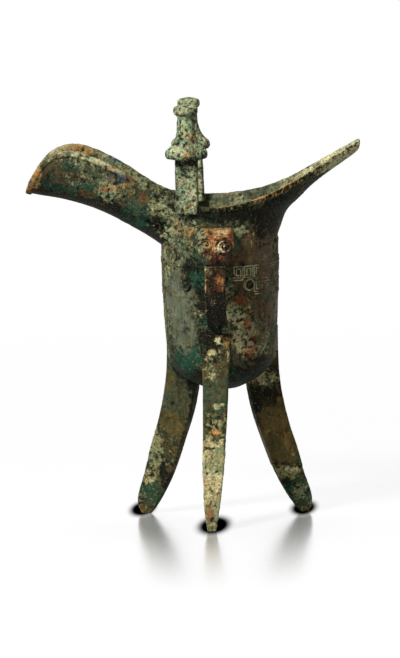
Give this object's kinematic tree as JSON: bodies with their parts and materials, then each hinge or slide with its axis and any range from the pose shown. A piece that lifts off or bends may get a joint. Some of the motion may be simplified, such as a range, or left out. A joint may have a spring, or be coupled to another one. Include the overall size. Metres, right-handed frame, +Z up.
{
  "type": "bronze jue wine vessel",
  "caption": "Ancient cast bronze pouring cup on blade legs, with a long trough spout, pointed tail, capped rim posts and an animal-head strap handle",
  "frame": {"origin": "on the surface that the feet stand on, under the middle of the vessel's outline", "axes": "+Z up; +X along the vessel from the spout to the tail; +Y from the handle to the far side"},
  "size_m": [0.1624, 0.0821, 0.2054],
  "materials": {
    "vessel_bronze": "patinated, matt with pale green and tan crust",
    "leg_bronze": "patinated, matt, darker at the feet",
    "post_bronze": "pale green patina",
    "handle_bronze": "dark red-brown, worn smooth",
    "spacer_bronze": "patinated, flush with the wall"
  },
  "bodies": {
    "root": {"cup": "vessel_bronze", "spout": "vessel_bronze", "tail": "vessel_bronze", "leg_front": "leg_bronze", "leg_left": "leg_bronze", "leg_right": "leg_bronze", "post_front": "post_bronze", "post_back": "post_bronze", "cap_front": "post_bronze", "cap_back": "post_bronze", "handle_head": "handle_bronze", "handle_strap": "handle_bronze", "floor_spacers": "spacer_bronze", "spout_spacers": "spacer_bronze"}
  },
  "joints": []
}
